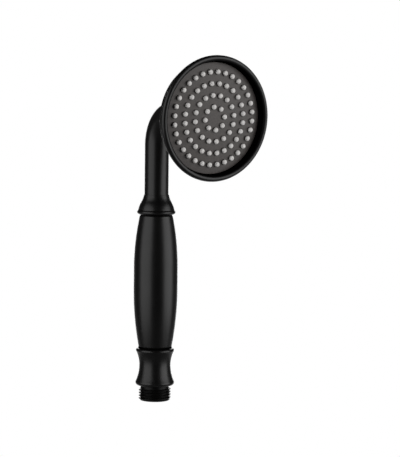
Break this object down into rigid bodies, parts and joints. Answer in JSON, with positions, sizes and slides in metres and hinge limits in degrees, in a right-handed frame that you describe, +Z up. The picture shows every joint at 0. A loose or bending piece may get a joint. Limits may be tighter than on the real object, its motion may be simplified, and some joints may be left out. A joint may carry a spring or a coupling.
{
  "type": "handheld shower head",
  "caption": "Traditional handheld shower head: round spray face with soft nozzles on a bent neck, barrel grip between turned collars, threaded hose inlet with a sprung non-return valve.",
  "frame": {"origin": "centre of the hose thread's end face, on the grip's axis", "axes": "+Z up the grip towards the neck, +X to the side that the spray face looks to, +Y across the spray face"},
  "size_m": [0.0849, 0.0788, 0.2259],
  "materials": {
    "black_metal": "satin black coating",
    "black_grip": "satin black",
    "black_face": "matt black",
    "grey_silicone": "soft grey silicone",
    "white_plastic": "natural acetal",
    "brass": "machined",
    "steel": "stainless",
    "black_rubber": "black nitrile rubber"
  },
  "bodies": {
    "handset": {"head_shell": "black_metal", "face_plate": "black_face", "nozzle_mat": "grey_silicone", "spray_plate": "white_plastic", "plate_screws": "steel", "face_gasket": "black_rubber", "head_seal": "black_rubber", "neck_tube": "black_metal", "upper_collar": "black_metal", "neck_seal": "black_rubber", "grip_upper_gasket": "black_rubber", "grip_sleeve": "black_grip", "grip_lower_gasket": "black_rubber", "core_tube": "brass", "core_seal": "black_rubber", "lower_collar": "black_metal", "connector_washer": "black_rubber", "inlet_connector": "black_metal", "strainer_screen": "white_plastic", "flow_regulator": "white_plastic", "regulator_ring": "black_rubber", "valve_body": "white_plastic", "valve_seal": "black_rubber", "valve_guide": "white_plastic", "valve_spring": "steel"},
    "poppet": {"valve_poppet": "white_plastic", "poppet_seal": "black_rubber"}
  },
  "joints": [
    {"name": "valve_lift", "type": "slide", "parent": "handset", "child": "poppet", "axis": [0, 0, 1], "range_m": [0, 0.0025], "stiffness_N_per_m": 30, "springref_m": -0.003, "deforming": ["valve_spring"]}
  ]
}
